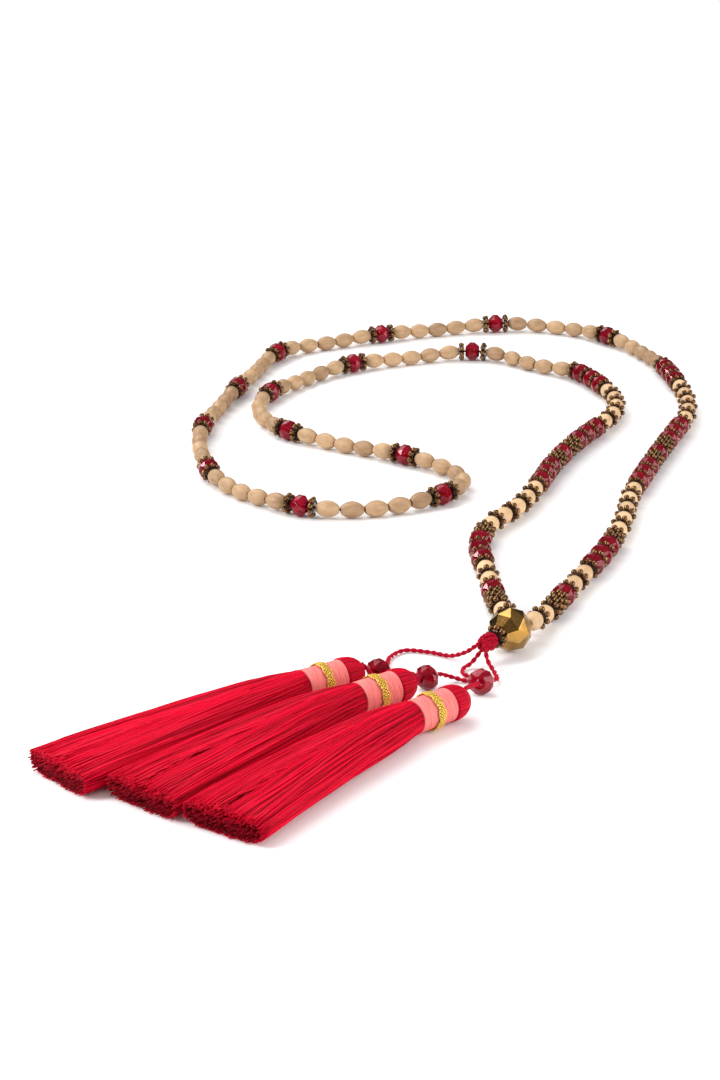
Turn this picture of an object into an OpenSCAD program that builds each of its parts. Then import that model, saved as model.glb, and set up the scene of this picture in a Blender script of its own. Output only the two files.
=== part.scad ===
// Long tassel necklace, lying on a table: wooden ovals, red crystals and bronze spacers
// on one thread, a gold centre bead, and three silk tassels on twisted drop cords.
// Millimetres. Z is up, the table is z = 0, the tassels point to -X and -Y.

/* [Wooden beads] */
// Length of an oval wooden bead
oval_l = 8.45; // [7:0.1:12]
// Thickness of an oval wooden bead
oval_d = 6.2; // [5:0.1:8]
// Thickness of an oval wooden bead at its two flat ends
oval_end_d = 2.6; // [2:0.1:3.5]
// Wooden beads in each far run
ovals_per_run = 5; // [3:1:7]

/* [Red crystals] */
// Width of a red crystal across its girdle
crystal_d = 8; // [6:0.25:10]
// Length of a red crystal along its hole
crystal_l = 6; // [4.5:0.1:8]
// Width of the flat table round the hole
crystal_table_d = 4.6; // [3:0.1:5.5]
// Height of the faceted girdle belt
crystal_girdle = 1.8; // [0.8:0.1:2.8]
// Facets round a crystal
crystal_facets = 10; // [8:1:14]

/* [Bronze spacers] */
// Width of a spacer over its knobs
spacer_d = 8; // [6:0.25:10]
// Length of one spacer along the thread
spacer_l = 2.4; // [1.8:0.1:3]
// Knobs round a spacer
spacer_knobs = 8; // [6:1:10]
// Size of a knob
knob_d = 2.1; // [1.6:0.1:2.3]
// How far the disc that carries the knobs lies back on each face
spacer_recess = 0.35; // [0.2:0.05:0.5]

/* [Gold bead] */
// Width of the gold bead across its middle
gold_d = 14.5; // [11:0.5:18]
// Length of the gold bead along its hole
gold_l = 12.6; // [9:0.2:16]
// Width of the gold bead's flat end round the hole
gold_table_d = 6.4; // [5:0.2:8]
// Width of the gold bead halfway between its end and its middle
gold_shoulder_d = 12.2; // [9:0.2:14]
// Facets round the gold bead
gold_facets = 8; // [6:1:12]

/* [Thread] */
// Thickness of the thread that carries the beads
thread_d = 0.9; // [0.6:0.05:1.2]
// Clearance between the thread and a bead's bore, all round
thread_clearance = 0.2; // [0.12:0.02:0.3]
// Least gap between neighbouring pieces on the thread
bead_gap = 0.16; // [0.12:0.02:0.4]
// Slack of the thread in the right strand, shared between its pieces
right_slack = 13; // [0:1:20]

/* [Knot and drop cords] */
// Width of the thread knot below the gold bead
knot_d = 5.6; // [4.5:0.1:7]
// Length of the thread knot
knot_l = 6.4; // [5:0.1:8]
// Thickness of a twisted drop cord
cord_d = 1.5; // [1.1:0.1:1.8]
// Clearance round a drop cord in its crystal
cord_clearance = 0.25; // [0.15:0.05:0.3]

/* [Tassels] */
// Width of a tassel's domed head
head_d = 11; // [9:0.2:12]
// Length of the domed head in front of the band
head_l = 8.4; // [5:0.2:9]
// Width of the neck inside the band
neck_d = 8.4; // [7:0.2:9]
// Length of the coral band round the neck
band_l = 13.5; // [9:0.5:16]
// Thickness of the wound coral band
band_wall = 0.8; // [0.6:0.1:1.2]
// Length of the gold braid
braid_l = 3.4; // [2.6:0.2:6]
// Thickness of the gold braid
braid_wall = 0.55; // [0.4:0.05:0.9]
// Clearance between head, band and braid
wrap_clearance = 0.15; // [0.1:0.05:0.25]
// Width of a fringe at its cut end
fringe_w = 28.5; // [20:0.5:28.5]
// Height of a fringe at its cut end
fringe_h = 9; // [7:0.5:12]
// Depth of the grooves between the fringe's locks
lock_depth = 0.4; // [0.1:0.05:0.5]

/* [Hidden] */
// Far crystals, each between two spacers and two runs of ovals
single_crystals = 14;
// Pieces of a front strand from the gold bead outwards: o oval, c crystal,
// s one spacer, 4 and 5 a stack of so many spacers
FRONT = str("oso", "5cs", "oso", "scscsc4", "ososososo", "scscsc4c5cscscs", "ososososo", "scscscs");

// Route of the bead string over the table, chosen by hand: up the left strand, along the
// inner run, round its curl, along the outer run, and back down the right strand
ROUTE = [
    [24, -100], [22, -86], [21, -70], [20, -56], [19, -40], [21, -24], [26, -11], [34, 2],
    [40, 17], [45, 33], [50, 50], [57, 69], [65, 87], [74, 104], [80, 118], [82, 135],
    [79, 152], [75, 165], [70, 176], [63, 182], [55, 187], [48, 194], [41, 202], [31, 207],
    [18, 207], [4, 202], [-11, 196], [-25, 189], [-38, 177], [-50, 161], [-59, 146],
    [-63, 129], [-60, 111], [-50, 94], [-31, 80], [-10, 67], [4, 56], [13, 46], [17, 34],
    [12, 22], [3, 13], [-10, 6], [-25, 2], [-40, 3], [-54, 12], [-66, 23], [-76, 38],
    [-81, 58], [-84, 79], [-84, 99], [-80, 122], [-74, 148], [-67, 175], [-60, 201],
    [-52, 214], [-36, 224], [-10, 237], [18, 248], [47, 254], [66, 250], [81, 240],
    [92, 226], [99, 212], [104, 196], [108, 178], [110, 158], [111, 134], [108, 112],
    [102, 95], [92, 66], [83, 38], [76, 14], [71, -12], [62, -42], [48, -76], [39, -98]];

// Gold bead: its place on the table, and the heading of its hole from knot to strands
GOLD_AT = [25, -122];
gold_heading = 53;
// Drop crystals: centre on the table, heading of the hole, and its rise to the tassel
CRYSTAL_BACK = [[-16.4, -148], 240, 0];
CRYSTAL_MIDDLE = [[-1.8, -153], 225, 0];
CRYSTAL_FRONT = [[14.4, -156.4], 254, 14];
// Drop cords from the knot to their crystals, chosen by hand
CORD_BACK = [
    [10.6, -132, 3.6], [6, -129, 1.2], [0, -125.5, 0.9],
    [-7.9, -124, 0.9], [-12.6, -129.5, 0.9], [-13.6, -137, 1.6]];
CORD_MIDDLE = [
    [12.4, -136.2, 1.8], [9.8, -138.8, 0.9],
    [9.8, -143, 0.9], [12.4, -145.6, 0.9], [10.8, -148.4, 0.9], [5.8, -146.8, 1.6]];
CORD_FRONT = [
    [17.4, -138.4, 3.2], [19.4, -142.6, 1], [19.4, -148.5, 1.4]];
// Tassels over the table: end of the head, bend and cut end of each centre line
TASSEL_BACK = [[-21, -151.3], [-57.5, -177], [-106, -219.5]];
TASSEL_MIDDLE = [[-5.6, -159.6], [-41.5, -188.5], [-81.6, -235]];
TASSEL_FRONT = [[9.7, -171.9], [-26, -204.4], [-58.6, -251]];
// Moves the whole necklace so that its bounding box stands centred on the origin
CENTRE_SHIFT = [0.1, 0.7, 0];

path_steps = 8;
thread_sides = 6;
cord_sides = 8;
tassel_sides = 44;
locks = 11;
lift_length = 20;
strand_spread = 2.2;
leg_offset = 0.5;
knot_droop = 8;
lift_reach = 14;

PLACES = ["back", "middle", "front"];
TASSELS = [TASSEL_BACK, TASSEL_MIDDLE, TASSEL_FRONT];
DROP_CRYSTALS = [CRYSTAL_BACK, CRYSTAL_MIDDLE, CRYSTAL_FRONT];
CORDS = [CORD_BACK, CORD_MIDDLE, CORD_FRONT];
bore_d = thread_d + 2 * thread_clearance;
leg_bore_d = 2 * leg_offset + bore_d;
gold_z = gold_d / 2;
band_bore_d = neck_d + 2 * wrap_clearance;
band_d = band_bore_d + 2 * band_wall;
braid_d = band_d + 2 * (wrap_clearance + braid_wall);
head_z = braid_d / 2;

function unit(v) = v / norm(v);
function on_heading(a) = [cos(a), sin(a)];
function ramp(x) = x <= 0 ? 0 : x >= 1 ? 1 : x * x * (3 - 2 * x);
function last(list) = list[len(list) - 1];
function two_digits(i) = str(i < 10 ? "0" : "", i);
function at_height(p, z) = [p.x, p.y, z];

// The string: one letter for each piece, along the left strand, the far runs, the right strand
OVAL_RUN = [for (i = [1:ovals_per_run]) "o"];
LEFT_STRAND = [for (c = FRONT) c];
RIGHT_STRAND = [for (i = [len(FRONT) - 1:-1:0]) FRONT[i]];
FAR_RUNS = [for (r = [0:single_crystals]) each concat(OVAL_RUN, r < single_crystals ? ["s", "c", "s"] : [])];
STRING = concat(LEFT_STRAND, FAR_RUNS, RIGHT_STRAND);
count = len(STRING);
strand_count = len(FRONT);
run_pitch = ovals_per_run + 3;

function stack_rows(c) = c == "5" ? 5 : c == "4" ? 4 : 1;
function is_spacer(c) = c != "o" && c != "c";
function piece_l(c) = c == "o" ? oval_l : c == "c" ? crystal_l : stack_rows(c) * spacer_l;
function piece_end_r(c) = (c == "o" ? oval_end_d : c == "c" ? crystal_table_d : spacer_d) / 2;
function is_wide(i) = i >= 0 && i < count && STRING[i] != "o";
// An oval's narrow end stands on the disc of a spacer beside it, inside the ring of knobs
function nested(i, neighbour) =
    STRING[i] == "o" && neighbour >= 0 && neighbour < count && is_spacer(STRING[neighbour]) ? spacer_recess : 0;
function slot_l(i) =
    piece_l(STRING[i]) - nested(i, i - 1) - nested(i, i + 1) + bead_gap
    + (i < count - strand_count ? 0 : right_slack / strand_count);

// Gold bead's axis and the two ends of the string at its far face
GOLD_AXIS = on_heading(gold_heading);
GOLD_SIDE = on_heading(gold_heading + 90);
function along_gold(distance, sideways) = GOLD_AT + distance * GOLD_AXIS + sideways * GOLD_SIDE;
strand_start = gold_l / 2 + 1;
STRING_START = along_gold(strand_start, strand_spread);
STRING_END = along_gold(strand_start, -strand_spread);

// Smooth curve through the route's points, with its length at each of its points
STOPS = concat([STRING_START], ROUTE, [STRING_END]);
function stop(i) = STOPS[max(0, min(i, len(STOPS) - 1))];
function curve(a, b, c, d, t) =
    (2 * b + (c - a) * t + (2 * a - 5 * b + 4 * c - d) * t * t + (3 * b - a - 3 * c + d) * t * t * t) / 2;
PATH = concat(
    [for (i = [0:len(STOPS) - 2], k = [0:path_steps - 1])
        curve(stop(i - 1), stop(i), stop(i + 1), stop(i + 2), k / path_steps)],
    [STRING_END]);
PATH_S = [for (i = 0, s = 0; i < len(PATH); i = i + 1, s = i < len(PATH) ? s + norm(PATH[i] - PATH[i - 1]) : s) s];
path_l = last(PATH_S);
PATH_X = [for (i = [0:len(PATH) - 1]) [PATH_S[i], PATH[i].x]];
PATH_Y = [for (i = [0:len(PATH) - 1]) [PATH_S[i], PATH[i].y]];
function path_at(s) = [lookup(s, PATH_X), lookup(s, PATH_Y)];
function turn(a, b) = asin(min(1, abs(a.x * b.y - a.y * b.x)));
// Lays the pieces along the route, which is drawn to the scale at which they just fill it.
// Each piece takes its own length and the gap that its end faces need in a bend
function sums(list) = [for (i = 0, s = 0; i <= len(list); s = i < len(list) ? s + list[i] : s, i = i + 1) s];
function string_point(s, scale) = STRING_START + scale * (path_at(s / scale) - STRING_START);

// Height of the thread: wide pieces rest on the table, ovals sink between them, and the
// first pieces rise to the gold bead's hole
function nearness(i, s, joints) =
    let (centre = (joints[i] + joints[i + 1]) / 2, clear = abs(s - centre) - piece_l(STRING[i]) / 2)
    1 - ramp((clear - 1) / lift_reach);
function lift(j, joints) =
    let (s = joints[j],
        wide = max([for (i = [j - 4:j + 3]) is_wide(i) ? nearness(i, s, joints) : 0]),
        rest = oval_d / 2 + (max(crystal_d, spacer_d) - oval_d) / 2 * wide,
        from_gold = min(s, last(joints) - s))
    rest + (gold_z - rest) * (1 - ramp(from_gold / lift_length));
function joint_points(joints, scale) =
    [for (j = [0:count]) at_height(string_point(joints[j], scale), lift(j, joints))];

// A first even layout gives the turn at each joint, and from those the final slots follow
EVEN_S = sums([for (i = [0:count - 1]) slot_l(i) + bead_gap]);
EVEN_POINTS = joint_points(EVEN_S, last(EVEN_S) / path_l);
function joint_turn(j) =
    j <= 0 || j >= count ? 0 :
    asin(norm(cross(unit(EVEN_POINTS[j + 1] - EVEN_POINTS[j]), unit(EVEN_POINTS[j] - EVEN_POINTS[j - 1])))) * PI / 180;
function face_gap(j) =
    1.15 * min(piece_end_r(STRING[max(0, j - 1)]), piece_end_r(STRING[min(j, count - 1)])) * joint_turn(j);
function slot(i) =
    slot_l(i) + max(face_gap(i), face_gap(i + 1))
    + piece_l(STRING[i]) / 24 * pow(max(joint_turn(i), joint_turn(i + 1)), 2);
JOINT_S = sums([for (i = [0:count - 1]) slot(i)]);
route_scale = last(JOINT_S) / path_l;
JOINTS = joint_points(JOINT_S, route_scale);

// Puts a piece that is drawn round Z between two points
module between(a, b, spin = 0) {
    d = unit(b - a);
    translate((a + b) / 2) rotate([0, acos(d.z), atan2(d.y, d.x)]) rotate([0, 0, spin]) children();
}

module on_string(i) between(JOINTS[i], JOINTS[i + 1], i * 37) children();

// Straight bore through a piece that is drawn round Z
module bore(d, l) cylinder(d = d, h = l + 2, center = true, $fn = 24);

// A closed skin through rings of points, each ring with the same number of points
module skin(rings) {
    sides = len(rings[0]);
    top = len(rings) - 1;
    polyhedron(
        [for (ring = rings) each ring],
        concat(
            [[for (k = [0:sides - 1]) k]],
            [for (i = [0:top - 1], k = [0:sides - 1])
                let (a = i * sides + k, b = i * sides + (k + 1) % sides)
                each [[a, a + sides, b + sides], [a, b + sides, b]]],
            [[for (k = [sides - 1:-1:0]) top * sides + k]]));
}

function ring(d, z, sides, offset = 0) =
    [for (k = [0:sides - 1]) let (a = -360 * (k + offset) / sides) [d / 2 * cos(a), d / 2 * sin(a), z]];

// A tube of flat rings along a list of points
function tube_direction(p, i) =
    unit((i < len(p) - 1 ? unit(p[i + 1] - p[i]) : [0, 0, 0]) + (i > 0 ? unit(p[i] - p[i - 1]) : [0, 0, 0]));
function tube_ring(p, i, d, sides) =
    let (along = tube_direction(p, i), side = unit(cross([0, 0, 1], along)), up = cross(along, side))
    [for (k = [0:sides - 1]) let (a = -360 * k / sides) p[i] + d / 2 * (cos(a) * side + sin(a) * up)];
module tube(points, d, sides) skin([for (i = [0:len(points) - 1]) tube_ring(points, i, d, sides)]);

module oval_shape() {
    swell = (oval_d - oval_end_d) / 2;
    side_r = (oval_l * oval_l / 4 + swell * swell) / (2 * swell);
    difference() {
        rotate_extrude($fn = 48)
            intersection() {
                translate([oval_d / 2 - side_r, 0]) circle(side_r, $fn = 96);
                translate([0, -oval_l / 2]) square([oval_d, oval_l]);
            }
        bore(bore_d, oval_l);
    }
}

module crystal_shape(hole_d) {
    n = crystal_facets;
    difference() {
        skin([
            ring(crystal_table_d, -crystal_l / 2, n),
            ring(crystal_d, -crystal_girdle / 2, n),
            ring(crystal_d, crystal_girdle / 2, n, 0.5),
            ring(crystal_table_d, crystal_l / 2, n, 0.5)]);
        bore(hole_d, crystal_l);
    }
}

// Rows of knobs, each on a flat side of its disc, and a tube that joins the discs of a stack
module spacer_shape(rows, hole_d) {
    l = rows * spacer_l;
    knob_at = (spacer_d - knob_d) / 2;
    flat_at = knob_at - knob_d / 3;
    half_turn = 180 / spacer_knobs;
    difference() {
        union() {
            if (rows > 1) cylinder(r = 0.6 * knob_at, h = l - spacer_l, center = true, $fn = 32);
            for (row = [0:rows - 1])
                translate([0, 0, (row + 0.5) * spacer_l - l / 2]) rotate([0, 0, half_turn * row]) {
                    rotate([0, 0, half_turn])
                        cylinder(r = flat_at / cos(half_turn), h = spacer_l - 2 * spacer_recess, center = true, $fn = spacer_knobs);
                    for (k = [0:spacer_knobs - 1])
                        rotate([0, 0, 2 * half_turn * k]) translate([knob_at, 0, 0]) sphere(d = knob_d, $fn = 24);
                }
        }
        bore(hole_d, l);
    }
}

// Pieces of one letter on a stretch of the string
module pieces(first, end, letter) {
    for (i = [first:end - 1])
        if (letter == "s" ? is_spacer(STRING[i]) : STRING[i] == letter)
            on_string(i) {
                if (letter == "o") translate([0, 0, (nested(i, i + 1) - nested(i, i - 1)) / 2]) oval_shape();
                if (letter == "c") crystal_shape(bore_d);
                if (letter == "s") spacer_shape(stack_rows(STRING[i]), bore_d);
            }
}

module string_thread() {
    leg_stop = knot_near - 0.4;
    leg_exit = gold_l / 2 + bead_gap;
    leg_a = [for (d = [leg_stop, leg_exit]) at_height(along_gold(d, leg_offset), gold_z)];
    leg_b = [for (d = [leg_exit, leg_stop]) at_height(along_gold(d, -leg_offset), gold_z)];
    color("tan") tube(concat(leg_a, JOINTS, leg_b), thread_d, thread_sides);
}

module gold_bead() {
    n = gold_facets;
    color("goldenrod") translate(at_height(GOLD_AT, gold_z)) rotate([0, 90, gold_heading])
        difference() {
            skin([
                ring(gold_table_d, -gold_l / 2, n, 0.5),
                ring(gold_shoulder_d, -gold_l / 3.6, n, 0.5),
                ring(gold_d, 0, n),
                ring(gold_shoulder_d, gold_l / 3.6, n, 0.5),
                ring(gold_table_d, gold_l / 2, n, 0.5)]);
            bore(leg_bore_d, gold_l);
        }
}

module pendant_spacer() {
    near = -gold_l / 2 - bead_gap;
    color("peru") between(
        at_height(along_gold(near - spacer_l, 0), gold_z),
        at_height(along_gold(near, 0), gold_z))
        spacer_shape(1, leg_bore_d);
}

// The knot droops from the pendant spacer to the table
knot_near = -gold_l / 2 - 2 * bead_gap - spacer_l;
KNOT_DIRECTION = [-GOLD_AXIS.x * cos(knot_droop), -GOLD_AXIS.y * cos(knot_droop), -sin(knot_droop)];
KNOT_BACK = at_height(along_gold(knot_near, 0), gold_z) + 0.31 * knot_d * sin(knot_droop) * KNOT_DIRECTION;
KNOT_FRONT = KNOT_BACK + knot_l * KNOT_DIRECTION;
KNOT_UP = [-GOLD_AXIS.x * sin(knot_droop), -GOLD_AXIS.y * sin(knot_droop), cos(knot_droop)];
module tassel_knot() {
    knot_end_d = 0.62 * knot_d;
    swell = (knot_d - knot_end_d) / 2;
    side_r = (knot_l * knot_l / 4 + swell * swell) / (2 * swell);
    color("crimson") between(KNOT_FRONT, KNOT_BACK)
        rotate_extrude($fn = 48)
            intersection() {
                translate([knot_d / 2 - side_r, 0]) circle(side_r, $fn = 96);
                translate([0, -knot_l / 2]) square([knot_d, knot_l]);
            }
}

module crystal_spacers()
    color("peru") pieces(strand_count, count - strand_count, "s");

function run_start(r) = strand_count + (r - 1) * run_pitch;
module crystal(r) color("darkred") pieces(run_start(r) + ovals_per_run, run_start(r + 1), "c");
module oval_run(r) color("burlywood") pieces(run_start(r), run_start(r) + ovals_per_run, "o");

module front_pieces(side, kind) {
    first = side == "left" ? 0 : count - strand_count;
    letter = kind == "ovals" ? "o" : kind == "crystals" ? "c" : "s";
    color(letter == "o" ? "burlywood" : letter == "c" ? "darkred" : "peru")
        pieces(first, first + strand_count, letter);
}

// Hole of a drop crystal: its two ends and its direction
function drop_direction(i) =
    let (h = DROP_CRYSTALS[i][1], t = DROP_CRYSTALS[i][2]) [cos(h) * cos(t), sin(h) * cos(t), sin(t)];
function drop_z(i) = let (t = DROP_CRYSTALS[i][2]) crystal_d / 2 * cos(t) + crystal_girdle / 2 * sin(t);
function drop_end(i, way) = at_height(DROP_CRYSTALS[i][0], drop_z(i)) + way * crystal_l / 2 * drop_direction(i);
module drop_crystal(i)
    color("darkred") between(drop_end(i, -1), drop_end(i, 1)) crystal_shape(cord_d + 2 * cord_clearance);

// Centre line of a tassel: straight through head and band, then one bend to the cut end
function tassel_heading(i) = unit(TASSELS[i][1] - TASSELS[i][0]);
function tassel_at(i, d) = TASSELS[i][0] + d * tassel_heading(i);
neck_l = head_l + band_l + 2 * wrap_clearance;
function fringe_at(i, t) =
    (1 - t) * (1 - t) * tassel_at(i, neck_l) + 2 * t * (1 - t) * TASSELS[i][1] + t * t * TASSELS[i][2];

// Point on the upper side of a domed head where its cord goes in
dome_share = 0.16;
function dome_r(share) = head_d / 2 * sqrt(1 - (1 - share) * (1 - share));
function cord_end(i) =
    at_height(tassel_at(i, dome_share * head_l), head_z + dome_r(dome_share))
    + 0.65 * unit(drop_end(i, 1) - at_height(tassel_at(i, dome_share * head_l), head_z + dome_r(dome_share)));

// Each cord leaves the knot's front, runs over the table, through its crystal and to its head
CORD_EXITS = [[-1, 0.4], [0, -0.8], [1, 0.4]];
function cord_exit(i) =
    let (near = KNOT_FRONT + at_height(-1.6 * CORD_EXITS[i].x * GOLD_SIDE, 0) + 1.3 * CORD_EXITS[i].y * KNOT_UP,
        lean = unit(CORDS[i][0] - near) * KNOT_DIRECTION)
    near + (cord_d / 2 * sqrt(1 - lean * lean) + 0.03) * KNOT_DIRECTION;
function cord_points(i) = concat([cord_exit(i)], CORDS[i], [drop_end(i, -1.25), drop_end(i, 1.2), cord_end(i)]);
function cord_route(i) =
    let (p = cord_points(i), n = len(p) - 1)
    concat(
        [for (k = [0:n - 3], t = [0, 0.5]) curve(p[max(0, k - 1)], p[k], p[k + 1], p[min(n, k + 2)], t)],
        [for (k = [n - 2:n]) p[k]]);
module drop_cord(i) color("firebrick") tube(cord_route(i), cord_d, cord_sides);

// Cross-section of a tassel: an oval with locks, fuller at its corners in the fringe and flat
// where it lies on the table
function rounded(x, full) = sign(x) * pow(abs(x), full);
function tassel_ring(centre, heading, w, h, z, locked) =
    let (side = [-heading.y, heading.x])
    [for (k = [0:tassel_sides - 1])
        let (a = 360 * k / tassel_sides,
            groove = 1 - locked * lock_depth * (1 - cos(locks * a)) / h,
            full = 1 - 0.25 * locked,
            out = w / 2 * rounded(cos(a), full) * groove)
        at_height(centre + out * side, max(0, z + h / 2 * rounded(sin(a), full) * groove))];

// Fringe sections: share of the way to the cut end, share of its width and of its height
FRINGE = [
    [0.04, 0.385, 1.15], [0.14, 0.49, 1.25], [0.3, 0.62, 1.27], [0.5, 0.73, 1.2],
    [0.75, 0.86, 1.09], [0.93, 0.955, 1.02], [1, 0.99, 0.95]];
DOME = [0.02, 0.16, 0.42, 0.75, 1];

module tassel(i) {
    end_turn = unit(TASSELS[i][2] - TASSELS[i][1]);
    color("crimson") skin(concat(
        [for (share = DOME)
            tassel_ring(tassel_at(i, share * head_l), tassel_heading(i), 2 * dome_r(share), 2 * dome_r(share), head_z, 0)],
        [for (d = [head_l, neck_l - 0.3])
            tassel_ring(tassel_at(i, d), tassel_heading(i), neck_d, neck_d, head_z, 0)],
        [for (row = FRINGE)
            let (h = row[2] * fringe_h, sink = ramp(row[0] / 0.3))
            tassel_ring(
                fringe_at(i, row[0]),
                unit((1 - row[0]) * tassel_heading(i) + row[0] * end_turn),
                row[1] * fringe_w, h, head_z + (h / 2 - 0.2 - head_z) * sink, ramp(row[0] / 0.2))]));
}

module wrap(i, l, inner_d, outer_d) {
    middle = head_l + wrap_clearance + band_l / 2;
    between(
        at_height(tassel_at(i, middle - l / 2), head_z),
        at_height(tassel_at(i, middle + l / 2), head_z))
        difference() {
            cylinder(d = outer_d, h = l, center = true, $fn = 64);
            cylinder(d = inner_d, h = l + 2, center = true, $fn = 64);
        }
}
module tassel_band(i) color("lightsalmon") wrap(i, band_l, band_bore_d, band_d);
module tassel_braid(i) color("gold") wrap(i, braid_l, band_d + 2 * wrap_clearance, braid_d);

translate(CENTRE_SHIFT) {
    string_thread();
    gold_bead();
    pendant_spacer();
    tassel_knot();
    crystal_spacers();
    for (side = ["left", "right"], kind = ["ovals", "crystals", "spacers"])
        front_pieces(side, kind);
    for (r = [1:single_crystals])
        crystal(r);
    for (r = [1:single_crystals + 1])
        oval_run(r);
    for (i = [0:len(PLACES) - 1]) {
        drop_cord(i);
        drop_crystal(i);
        tassel(i);
        tassel_band(i);
        tassel_braid(i);
    }
}
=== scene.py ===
import math

import bpy
import numpy as np
from bpy.props import FloatProperty, FloatVectorProperty, IntProperty, PointerProperty
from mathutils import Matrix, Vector


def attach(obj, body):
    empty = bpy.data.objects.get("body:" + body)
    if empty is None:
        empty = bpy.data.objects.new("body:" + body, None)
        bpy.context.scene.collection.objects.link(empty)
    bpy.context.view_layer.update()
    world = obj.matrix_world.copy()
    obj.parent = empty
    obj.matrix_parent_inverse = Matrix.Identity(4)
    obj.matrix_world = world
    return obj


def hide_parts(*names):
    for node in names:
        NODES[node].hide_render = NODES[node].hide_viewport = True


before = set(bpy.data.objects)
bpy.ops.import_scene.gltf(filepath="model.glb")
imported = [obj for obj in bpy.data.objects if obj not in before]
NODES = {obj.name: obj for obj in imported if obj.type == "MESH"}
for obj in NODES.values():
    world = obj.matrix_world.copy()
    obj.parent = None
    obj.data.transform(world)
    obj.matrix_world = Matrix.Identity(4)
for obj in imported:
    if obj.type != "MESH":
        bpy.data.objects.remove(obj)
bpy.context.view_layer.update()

bl_info = {
    "name": "Tassel Necklace",
    "version": (1, 0, 0),
    "blender": (4, 5, 0),
    "location": "View3D > Sidebar > Necklace",
    "description": "Wooden ovals, cut crystals, bronze spacers, drop cords and silk tassels of a necklace",
    "category": "Object",
}

MM = 0.001
# From the necklace as it was laid out, in millimetres, to its place in the frame
SHIFT = np.array([0.1, 0.7, 0.0])
PLACES = ("back", "middle", "front")
SIDES = ("left", "right")


def colour(name, description, value):
    return FloatVectorProperty(
        name=name, description=description, subtype="COLOR", size=3, min=0, max=1, default=value)


def size(name, description, millimetres):
    return amount(name, description, millimetres * MM, unit="LENGTH", precision=5)


def amount(name, description, value, **more):
    return FloatProperty(name=name, description=description, min=0, default=value, **more)


def number(name, description, low, high, value):
    return IntProperty(name=name, description=description, min=low, max=high, default=value)


class BeadSettings(bpy.types.PropertyGroup):
    """Sizes and colours of the beads"""

    oval_length: size("Oval length", "Length of an oval wooden bead", 8.45)
    oval_width: size("Oval width", "Thickness of an oval wooden bead", 6.2)
    oval_end: size("Oval end", "Thickness of an oval wooden bead at its flat ends", 2.6)
    bore: size("Bore", "Width of the hole through a bead", 1.3)
    crystal_width: size("Crystal width", "Width of a red crystal across its girdle", 8.0)
    crystal_length: size("Crystal length", "Length of a red crystal along its hole", 6.0)
    crystal_table: size("Crystal table", "Width of a crystal's flat table", 4.6)
    crystal_girdle: size("Crystal girdle", "Height of a crystal's faceted belt", 1.8)
    crystal_facets: number("Crystal facets", "Facets round a crystal", 6, 16, 10)
    spacer_width: size("Spacer width", "Width of a bronze spacer over its knobs", 8.0)
    spacer_length: size("Spacer length", "Length of one row of knobs", 2.4)
    knob_width: size("Knob width", "Size of a knob", 2.1)
    knobs: number("Knobs", "Knobs round a spacer", 5, 12, 8)
    wood_light: colour("Light wood", "Colour of the palest wooden beads", (0.84, 0.555, 0.305))
    wood_dark: colour("Dark wood", "Colour of the darkest wooden beads", (0.25, 0.14, 0.07))
    crystal_red: colour("Crystal red", "Colour of the cut crystals", (0.38, 0.003, 0.018))
    bronze_dark: colour("Dark bronze", "Patina in the hollows of the spacers", (0.034, 0.016, 0.008))
    bronze_bright: colour("Bright bronze", "Rubbed metal on the knobs", (0.3, 0.15, 0.057))
    gold: colour("Gold", "Colour of the large centre bead", (0.52, 0.27, 0.06))


class ThreadSettings(bpy.types.PropertyGroup):
    """Sizes and colours of the thread, knot and drop cords"""

    cord_width: size("Cord width", "Thickness of a twisted drop cord", 1.5)
    cord_pitch: size("Cord twist", "Length in which a drop cord turns once", 4.4)
    cord_red: colour("Cord red", "Colour of the drop cords and the knot", (0.54, 0.001, 0.026))
    thread_red: colour("Thread", "Colour of the thread that carries the beads", (0.2, 0.035, 0.02))


class TasselSettings(bpy.types.PropertyGroup):
    """Counts and colours of the tassels"""

    strands: number("Strands", "Threads on the outside of a fringe", 100, 1500, 520)
    cut_ends: number("Cut ends", "Threads that end inside the cut", 50, 1500, 1100)
    strand_width: size("Strand width", "Thickness of one thread of a fringe", 0.58)
    turns: number("Turns", "Turns of thread in a coral band", 10, 60, 30)
    silk_bright: colour("Bright silk", "Colour of the fringe in the light", (0.82, 0.0, 0.03))
    # Painted shade: the fringe's tone runs down to this colour deep between the threads and on the body under
    # them
    silk_shade: colour("Dark silk", "Colour deep between the threads", (0.16, 0.0, 0.005))
    coral: colour("Coral", "Colour of the wound bands", (0.92, 0.195, 0.175))
    braid_gold: colour("Braid gold", "Colour of the metallic braid", (0.75, 0.42, 0.04))


class StageSettings(bpy.types.PropertyGroup):
    """Floor and light"""

    floor: colour("Floor", "Colour of the table", (0.95, 0.945, 0.95))
    sun: amount("Soft light", "Strength of the broad light above and behind", 1.9)
    breadth: amount("Breadth", "How broad the soft light is", math.radians(50), subtype="ANGLE")
    side_power: amount("Side lights", "Power of the two lights that the metal mirrors", 6)
    room: amount("Room light", "Brightness of the room all round", 0.62)
    mirrored: amount("Mirrored room", "Brightness of the dark room that gloss mirrors", 0.13)


def unit(vectors):
    return vectors / np.linalg.norm(vectors, axis=-1, keepdims=True)


def circle(steps):
    """Angles of steps spread evenly round a full turn."""
    return 2 * np.pi * np.arange(steps) / steps


def spin(angle):
    """Matrix that turns about Z."""
    across, up = math.cos(angle), math.sin(angle)
    return np.array([[across, -up, 0], [up, across, 0], [0, 0, 1]])


def lengths(route):
    """Distance to each point of a route, or of each of many routes, along it from its start."""
    steps = np.linalg.norm(np.diff(route, axis=-2), axis=-1)
    return np.concatenate([0 * steps[..., :1], np.cumsum(steps, axis=-1)], -1)


def deselect():
    if bpy.context.object and bpy.context.object.mode != "OBJECT":
        bpy.ops.object.mode_set(mode="OBJECT")
    bpy.ops.object.select_all(action="DESELECT")


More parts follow.
